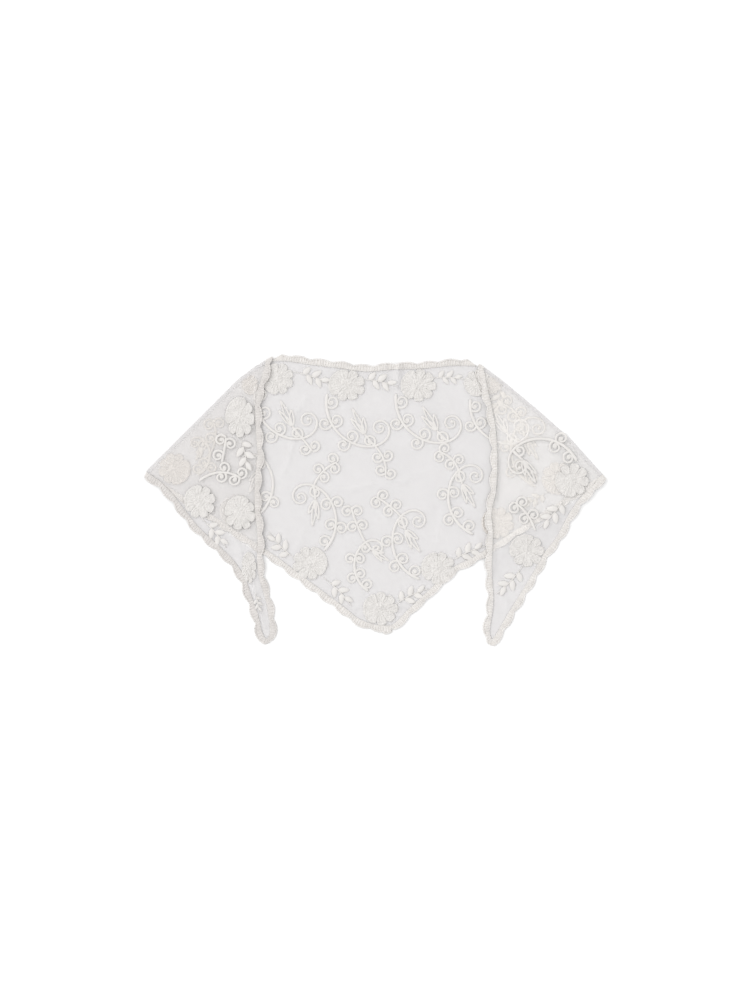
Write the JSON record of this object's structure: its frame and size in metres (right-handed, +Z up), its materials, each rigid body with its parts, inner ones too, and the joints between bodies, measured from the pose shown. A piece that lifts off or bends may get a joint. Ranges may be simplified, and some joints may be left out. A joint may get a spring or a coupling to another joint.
{
  "type": "lace shawl",
  "caption": "Small triangular shawl of sheer embroidered net with a scalloped edging, lying flat with both ends folded in.",
  "frame": {"origin": "on the surface that the shawl lies on, under the middle of the folded shawl's outline", "axes": "+X to the right along the shawl's long top edge, +Y from the bottom point to the top edge, +Z up off the surface"},
  "size_m": [0.7176, 0.4496, 0.0057],
  "materials": {
    "net": "matt sheer off-white net",
    "edging": "matt off-white lace edging",
    "thread": "soft satin off-white thread"
  },
  "bodies": {
    "root": {"edging_left_end": "edging", "edging_lower_left": "edging", "edging_lower_right": "edging", "edging_right_end": "edging", "edging_top": "edging", "flower_corner_left": "thread", "flower_corner_right": "thread", "flower_left_end_1": "thread", "flower_left_end_2": "thread", "flower_left_end_3": "thread", "flower_left_end_4": "thread", "flower_low_1": "thread", "flower_low_2": "thread", "flower_low_3": "thread", "flower_low_4": "thread", "flower_low_5": "thread", "flower_right_end_1": "thread", "flower_right_end_2": "thread", "flower_top_1": "thread", "flower_top_2": "thread", "flower_top_3": "thread", "flower_top_4": "thread", "net_left_end": "net", "net_middle": "net", "net_right_end": "net", "scroll_corner_left": "thread", "scroll_left_end": "thread", "scroll_low_1": "thread", "scroll_low_2": "thread", "scroll_low_3": "thread", "scroll_low_4": "thread", "scroll_low_5": "thread", "scroll_right_end": "thread", "scroll_top_1": "thread", "scroll_top_2": "thread", "scroll_top_3": "thread", "scroll_top_4": "thread", "spray_left_end_1": "thread", "spray_left_end_2": "thread", "spray_left_end_3": "thread", "spray_low_1": "thread", "spray_low_2": "thread", "spray_low_3": "thread", "spray_low_4": "thread", "spray_right_end_1": "thread", "spray_right_end_2": "thread", "spray_top_1": "thread", "spray_top_2": "thread", "spray_top_3": "thread", "sprig_left_end": "thread", "sprig_right_end": "thread"}
  },
  "joints": []
}
